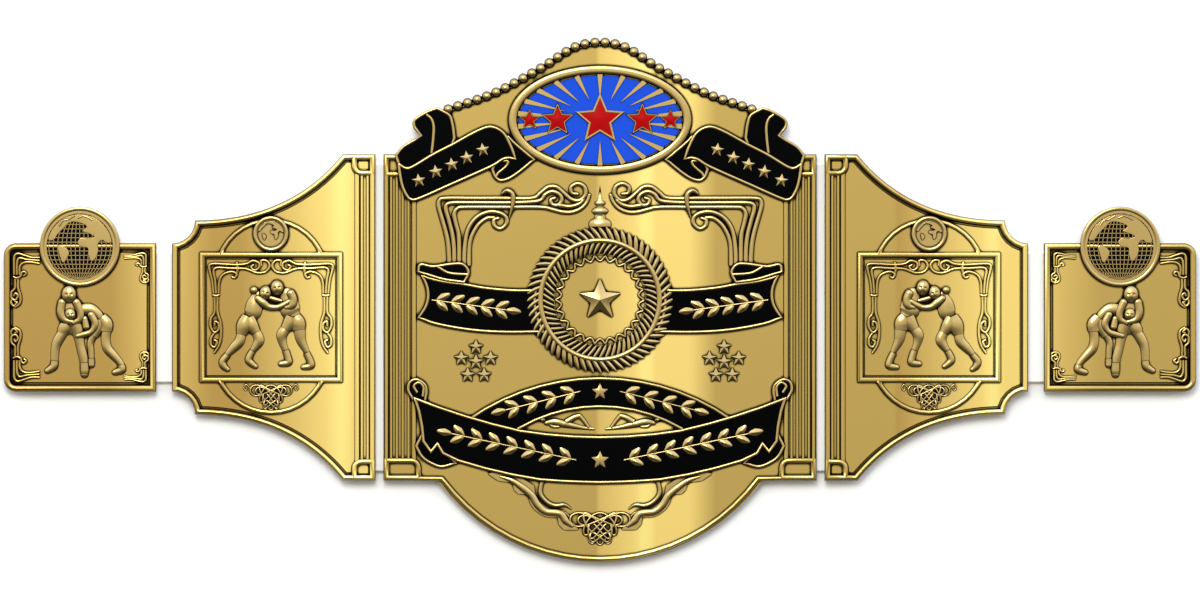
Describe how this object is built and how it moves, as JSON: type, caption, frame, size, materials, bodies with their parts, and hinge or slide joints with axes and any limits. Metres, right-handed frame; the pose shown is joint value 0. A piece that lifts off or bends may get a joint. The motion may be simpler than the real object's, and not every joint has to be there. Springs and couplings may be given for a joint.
{
  "type": "championship title belt",
  "caption": "Championship belt: gold relief plates in a row on a leather strap, with an enamelled main plate and two side plates at each end.",
  "frame": {"origin": "middle of the centre plate, on the back of the strap that the belt lies on", "axes": "+X runs along the row of plates, +Y is up the plates, +Z is out of their faces"},
  "size_m": [0.636, 0.279, 0.0107],
  "materials": {
    "leather": "off-white, fine grain, satin",
    "plate_gold": "gold-plated, polished field",
    "relief_gold": "gold-plated cast relief, dark in its recesses",
    "black_enamel": "black gloss enamel",
    "blue_enamel": "blue gloss enamel",
    "red_enamel": "red gloss enamel"
  },
  "bodies": {
    "root": {"strap": "leather", "center_plate": "plate_gold", "bead_row": "relief_gold", "emblem": "blue_enamel", "emblem_star_1": "red_enamel", "emblem_star_2": "red_enamel", "emblem_star_3": "red_enamel", "emblem_star_4": "red_enamel", "emblem_star_5": "red_enamel", "upper_ribbon_left": "black_enamel", "upper_ribbon_right": "black_enamel", "scroll_frame_left": "relief_gold", "scroll_frame_right": "relief_gold", "side_banner_left": "black_enamel", "side_banner_right": "black_enamel", "medallion": "relief_gold", "medallion_star": "relief_gold", "finial": "relief_gold", "cluster_star_1_left": "relief_gold", "cluster_star_1_right": "relief_gold", "cluster_star_2_left": "relief_gold", "cluster_star_2_right": "relief_gold", "cluster_star_3_left": "relief_gold", "cluster_star_3_right": "relief_gold", "cluster_star_4_left": "relief_gold", "cluster_star_4_right": "relief_gold", "cluster_star_5_left": "relief_gold", "cluster_star_5_right": "relief_gold", "cluster_star_6_left": "relief_gold", "cluster_star_6_right": "relief_gold", "arch_banner": "black_enamel", "lower_banner": "black_enamel", "reclining_figure_left": "relief_gold", "reclining_figure_right": "relief_gold", "bottom_bracket_left": "relief_gold", "bottom_bracket_right": "relief_gold", "bottom_knot": "relief_gold", "inner_plate_left": "plate_gold", "inner_plate_right": "plate_gold", "inner_panel_left": "plate_gold", "inner_panel_right": "plate_gold", "inner_globe_left": "relief_gold", "inner_globe_right": "relief_gold", "inner_wrestlers_left": "relief_gold", "inner_wrestlers_right": "relief_gold", "inner_knot_left": "relief_gold", "inner_knot_right": "relief_gold", "outer_plate_left": "plate_gold", "outer_plate_right": "plate_gold", "outer_globe_left": "relief_gold", "outer_globe_right": "relief_gold", "outer_wrestlers_left": "relief_gold", "outer_wrestlers_right": "relief_gold"}
  },
  "joints": []
}
